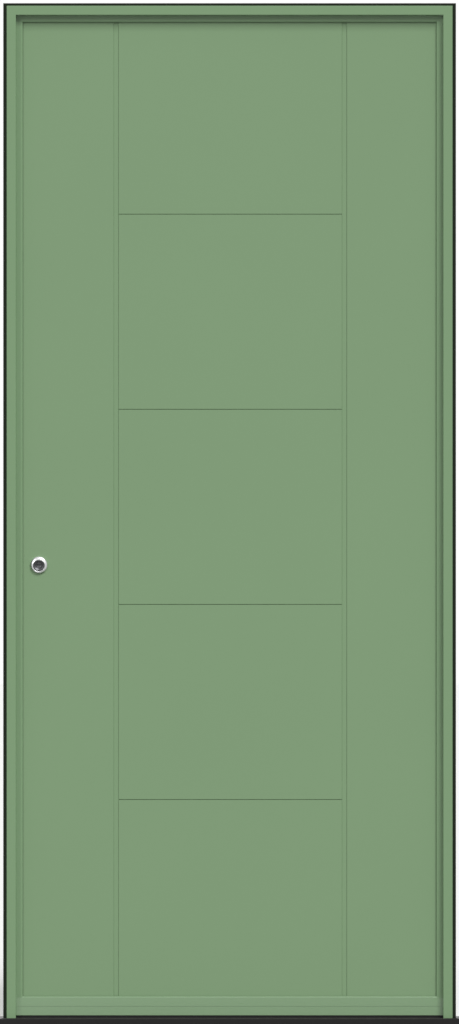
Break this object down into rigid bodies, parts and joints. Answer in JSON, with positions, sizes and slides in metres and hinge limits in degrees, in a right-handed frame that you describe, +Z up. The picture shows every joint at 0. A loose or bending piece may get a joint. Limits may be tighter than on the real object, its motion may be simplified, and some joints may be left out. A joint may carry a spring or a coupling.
{
  "type": "entry door",
  "caption": "Entry door: steel-faced leaf with pressed panel grooves, hung in a metal frame with threshold, wall seals, inside knob, latch and thumbturn-driven bolts.",
  "frame": {"origin": "middle of the underside of the threshold base, at the middle of the frame's depth", "axes": "+Z up, +Y indoors through the doorway, +X towards the hinge side, which is on the right seen from outdoors"},
  "size_m": [1, 0.159, 2.2054],
  "materials": {
    "frame_paint": "satin grey-green powder coat on aluminium",
    "leaf_paint": "satin grey-green powder coat on steel sheet",
    "dark_aluminium": "dark anodised",
    "rubber": "matte black",
    "steel": "satin",
    "chrome": "polished",
    "gunmetal": "dark satin",
    "timber": "planed softwood",
    "core_board": "honeycomb board"
  },
  "bodies": {
    "frame": {"jamb_lock_side": "frame_paint", "jamb_hinge_side": "frame_paint", "head": "frame_paint", "sill": "frame_paint", "corner_cleats": "steel", "threshold_base": "dark_aluminium", "base_cap_lock_side": "rubber", "base_cap_hinge_side": "rubber", "wall_seal_lock_side": "rubber", "wall_seal_hinge_side": "rubber", "wall_seal_head": "rubber", "gasket_lock_side": "rubber", "gasket_hinge_side": "rubber", "gasket_head": "rubber", "gasket_sill": "rubber", "strike_main": "steel", "strike_upper": "steel", "strike_lower": "steel", "strike_screws": "steel", "hinge_frame_half_bottom": "steel", "hinge_frame_half_middle": "steel", "hinge_frame_half_top": "steel", "hinge_pin_bottom": "steel", "hinge_pin_middle": "steel", "hinge_pin_top": "steel", "hinge_frame_screws": "steel"},
    "leaf": {"outer_skin": "leaf_paint", "inner_skin": "leaf_paint", "insulation_core": "core_board", "lock_stile": "timber", "hinge_stile": "timber", "top_rail": "timber", "bottom_rail": "timber", "hinge_leaf_half_bottom": "steel", "hinge_leaf_half_middle": "steel", "hinge_leaf_half_top": "steel", "hinge_leaf_screws": "steel", "lock_faceplate": "steel", "faceplate_screws": "steel", "main_lock_case": "steel", "upper_bolt_case": "steel", "lower_bolt_case": "steel", "cylinder_collar": "chrome", "cylinder_body": "gunmetal", "knob_rose": "steel", "thumbturn_rose": "steel"},
    "knob": {"turn_knob": "steel", "knob_spindle": "steel", "latch_follower": "gunmetal"},
    "latch": {"latch_bolt": "steel"},
    "drive_rod": {"drive_rod": "steel"},
    "deadbolt": {"deadbolt": "steel"},
    "upper_bolt": {"upper_bolt": "steel"},
    "lower_bolt": {"lower_bolt": "steel"},
    "turn": {"thumbturn": "steel", "tailpiece": "steel", "bolt_cam": "gunmetal", "cylinder_plug": "gunmetal"}
  },
  "joints": [
    {"name": "leaf_swing", "type": "hinge", "parent": "frame", "child": "leaf", "pos_m": [0.458, 0.059, 1.117], "axis": [0, 0, -1], "range_deg": [0, 110]},
    {"name": "knob_turn", "type": "hinge", "parent": "leaf", "child": "knob", "pos_m": [-0.411, 0.085, 1.068], "axis": [0, -1, 0], "range_deg": [0, 40]},
    {"name": "latch_slide", "type": "slide", "parent": "leaf", "child": "latch", "axis": [-1, 0, 0], "range_m": [0, 0.011]},
    {"name": "drive_rod_slide", "type": "slide", "parent": "leaf", "child": "drive_rod", "axis": [0, 0, 1], "range_m": [0, 0.02]},
    {"name": "deadbolt_throw", "type": "slide", "parent": "leaf", "child": "deadbolt", "axis": [-1, 0, 0], "range_m": [0, 0.02]},
    {"name": "upper_bolt_throw", "type": "slide", "parent": "leaf", "child": "upper_bolt", "axis": [-1, 0, 0], "range_m": [0, 0.02]},
    {"name": "lower_bolt_throw", "type": "slide", "parent": "leaf", "child": "lower_bolt", "axis": [-1, 0, 0], "range_m": [0, 0.02]},
    {"name": "thumbturn_turn", "type": "hinge", "parent": "leaf", "child": "turn", "pos_m": [-0.411, 0.06, 0.996], "axis": [0, -1, 0], "range_deg": [0, 90]}
  ],
  "couplings": [
    {"joint": "latch_slide", "follows": "knob_turn", "m_per_rad": 0.015756},
    {"joint": "deadbolt_throw", "follows": "drive_rod_slide", "ratio": 1},
    {"joint": "upper_bolt_throw", "follows": "drive_rod_slide", "ratio": 1},
    {"joint": "lower_bolt_throw", "follows": "drive_rod_slide", "ratio": 1},
    {"joint": "thumbturn_turn", "follows": "drive_rod_slide", "rad_per_m": 78.54}
  ]
}
